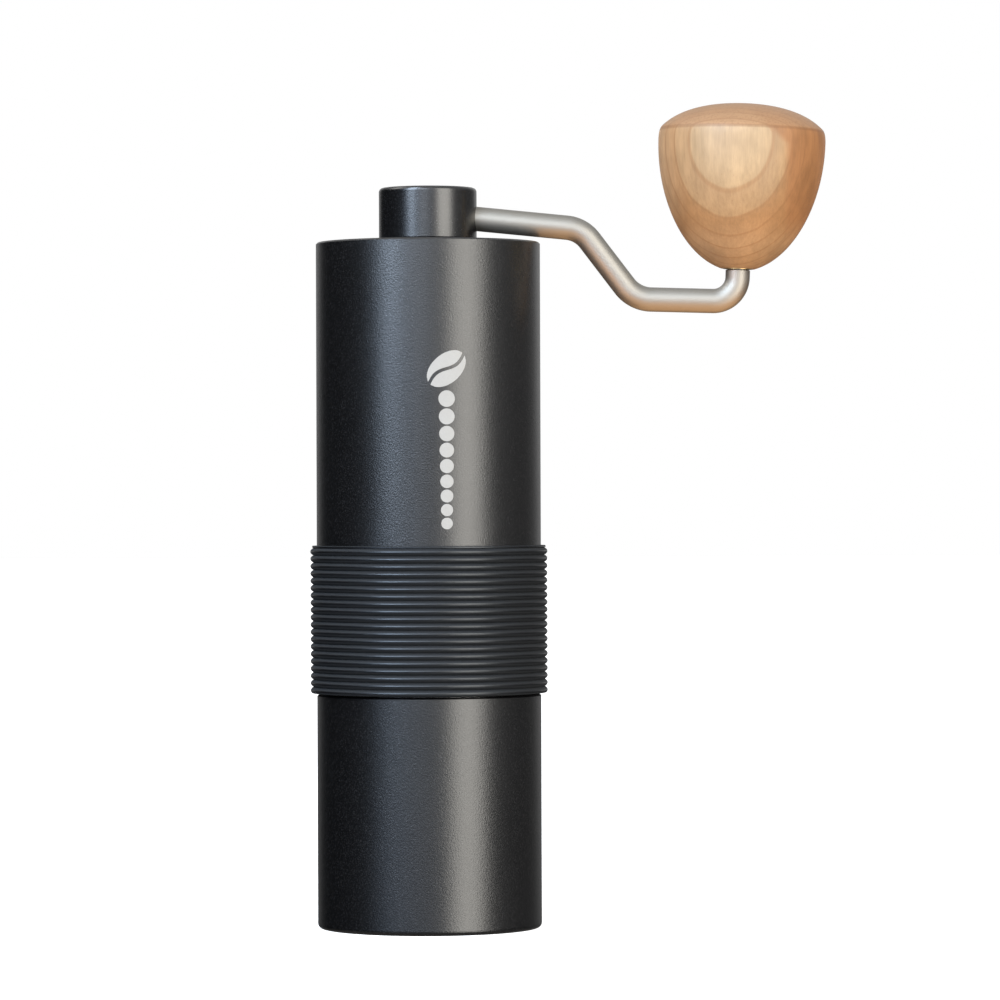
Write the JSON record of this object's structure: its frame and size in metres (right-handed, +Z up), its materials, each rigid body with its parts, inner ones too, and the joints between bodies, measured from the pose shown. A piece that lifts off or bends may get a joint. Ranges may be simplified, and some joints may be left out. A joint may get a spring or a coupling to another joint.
{
  "type": "hand crank coffee grinder",
  "caption": "Slim hand crank coffee grinder with a lift-off lid and bent crank, wooden knob, conical burrs, click-stop dial and screw-on grounds cup.",
  "frame": {"origin": "centre of the grounds cup's flat base, on the drive shaft's axis", "axes": "+Z up along the drive shaft; +X towards the crank arm and its knob; -Y is the front"},
  "size_m": [0.1268, 0.0582, 0.2019],
  "materials": {
    "black_anodised": "fine-blasted satin black anodising",
    "machined_aluminium": "fine turned finish",
    "silicone_black": "matte moulded silicone",
    "seal_rubber": "satin rubber",
    "brushed_stainless": "brushed along its length",
    "burr_steel": "ground and hardened",
    "bearing_steel": "polished",
    "zinc_steel": "satin zinc",
    "spring_steel": "dark oiled",
    "bronze": "sintered bronze",
    "black_acetal": "satin bearing plastic",
    "knob_wood": "oiled softwood with wide growth rings",
    "print_white": "thin satin white print"
  },
  "bodies": {
    "root": {"body_tube": "black_anodised", "grip_band": "silicone_black", "upper_bridge": "machined_aluminium", "burr_carrier": "machined_aluminium", "carrier_screws": "zinc_steel", "ring_burr": "burr_steel", "burr_retaining_ring": "machined_aluminium", "upper_bearing_outer_race": "bearing_steel", "upper_bearing_shields": "zinc_steel", "lower_bearing_outer_race": "bearing_steel", "lower_bearing_shields": "zinc_steel"},
    "lid": {"lid": "black_anodised", "lid_seal": "seal_rubber"},
    "crank": {"crank_hub": "black_anodised", "hub_washer": "black_acetal", "hub_clip": "spring_steel", "drive_socket": "zinc_steel", "crank_arm": "brushed_stainless", "arm_grub_screw": "spring_steel", "knob_washer": "zinc_steel", "knob_clip": "spring_steel"},
    "knob": {"knob": "knob_wood", "knob_bush": "bronze"},
    "shaft": {"drive_shaft": "brushed_stainless", "shaft_clip": "spring_steel", "upper_bearing_inner_race": "bearing_steel", "lower_bearing_inner_race": "bearing_steel", "spring_washer": "zinc_steel", "burr_spring": "spring_steel"},
    "inner_burr": {"cone_burr": "burr_steel", "click_plate": "zinc_steel"},
    "dial": {"adjust_dial": "black_anodised", "click_balls": "bearing_steel", "click_springs": "spring_steel"},
    "upper_cage": {"upper_bearing_balls": "bearing_steel", "upper_bearing_cage": "bronze"},
    "lower_cage": {"lower_bearing_balls": "bearing_steel", "lower_bearing_cage": "bronze"},
    "cup_seal": {"cup_seal": "seal_rubber"},
    "cup": {"grounds_cup": "black_anodised"}
  },
  "joints": [
    {"name": "lid_lift", "type": "slide", "parent": "root", "child": "lid", "axis": [0, 0, 1], "range_m": [0, 0.04]},
    {"name": "crank_turn", "type": "hinge", "parent": "lid", "child": "crank", "pos_m": [0, 0, 0.1675], "axis": [0, 0, 1], "continuous": true},
    {"name": "knob_spin", "type": "hinge", "parent": "crank", "child": "knob", "pos_m": [0.07606, 0, 0.1607], "axis": [0.0349, 0, 0.9994], "continuous": true},
    {"name": "shaft_spin", "type": "hinge", "parent": "root", "child": "shaft", "pos_m": [0, 0, 0.1], "axis": [0, 0, 1], "continuous": true},
    {"name": "upper_cage_spin", "type": "hinge", "parent": "root", "child": "upper_cage", "pos_m": [0, 0, 0.1505], "axis": [0, 0, 1], "continuous": true},
    {"name": "lower_cage_spin", "type": "hinge", "parent": "root", "child": "lower_cage", "pos_m": [0, 0, 0.0765], "axis": [0, 0, 1], "continuous": true},
    {"name": "burr_gap", "type": "slide", "parent": "shaft", "child": "inner_burr", "axis": [0, 0, 1], "range_m": [-0.002, 0.00075], "deforming": ["burr_spring"]},
    {"name": "grind_adjust", "type": "hinge", "parent": "inner_burr", "child": "dial", "pos_m": [0, 0, 0.0451], "axis": [0, 0, 1], "range_deg": [-720, 270]},
    {"name": "cup_drop", "type": "slide", "parent": "root", "child": "cup_seal", "axis": [0, 0, 1], "range_m": [-0.021, 0]},
    {"name": "cup_unscrew", "type": "hinge", "parent": "cup_seal", "child": "cup", "pos_m": [0, 0, 0.05655], "axis": [0, 0, 1], "range_deg": [-2520, 0]}
  ],
  "couplings": [
    {"joint": "shaft_spin", "follows": "crank_turn", "ratio": 1},
    {"joint": "upper_cage_spin", "follows": "crank_turn", "ratio": 0.4},
    {"joint": "lower_cage_spin", "follows": "crank_turn", "ratio": 0.4},
    {"joint": "grind_adjust", "follows": "burr_gap", "rad_per_m": 6283.2},
    {"joint": "cup_drop", "follows": "cup_unscrew", "m_per_rad": 0.00047746}
  ]
}
